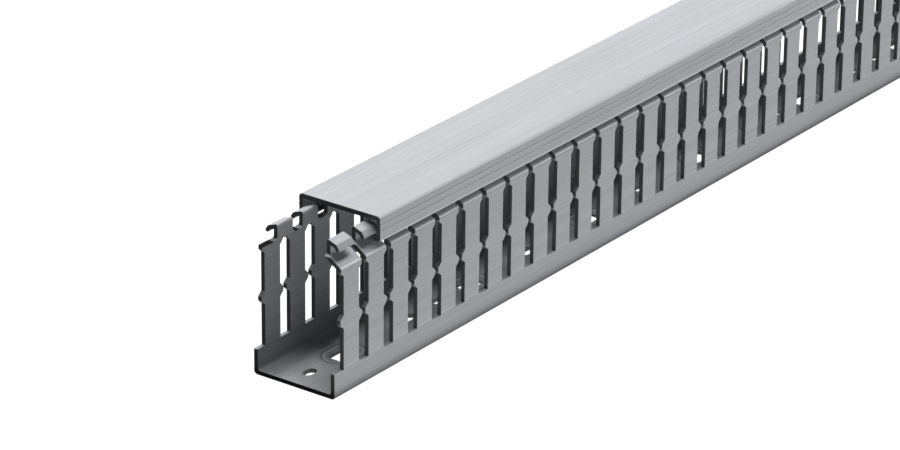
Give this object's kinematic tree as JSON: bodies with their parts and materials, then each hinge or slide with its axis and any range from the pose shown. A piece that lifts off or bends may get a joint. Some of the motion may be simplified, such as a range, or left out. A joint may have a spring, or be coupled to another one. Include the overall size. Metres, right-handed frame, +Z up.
{
  "type": "slotted wire duct",
  "caption": "Open-slot wiring duct: a U-shaped channel with fingered side walls and a floor with screw holes, closed by a clipped cover that slides along its hooked edges.",
  "frame": {"origin": "under the middle of the whole duct, base and cover together, on the surface it stands on", "axes": "+Y along the duct, away from the cut front end; +Z up, from the floor to the cover; X across"},
  "size_m": [0.032, 1.0232, 0.0541],
  "materials": {
    "base_grey": "extruded grey PVC, fine lengthwise drawing marks, satin",
    "cover_grey": "extruded grey PVC, fine lengthwise drawing marks, satin"
  },
  "bodies": {
    "base": {"base_channel": "base_grey"},
    "cover": {"cover": "cover_grey"}
  },
  "joints": [
    {"name": "cover_slide", "type": "slide", "parent": "base", "child": "cover", "axis": [0, 1, 0], "range_m": [-0.0232, 0.9]}
  ]
}
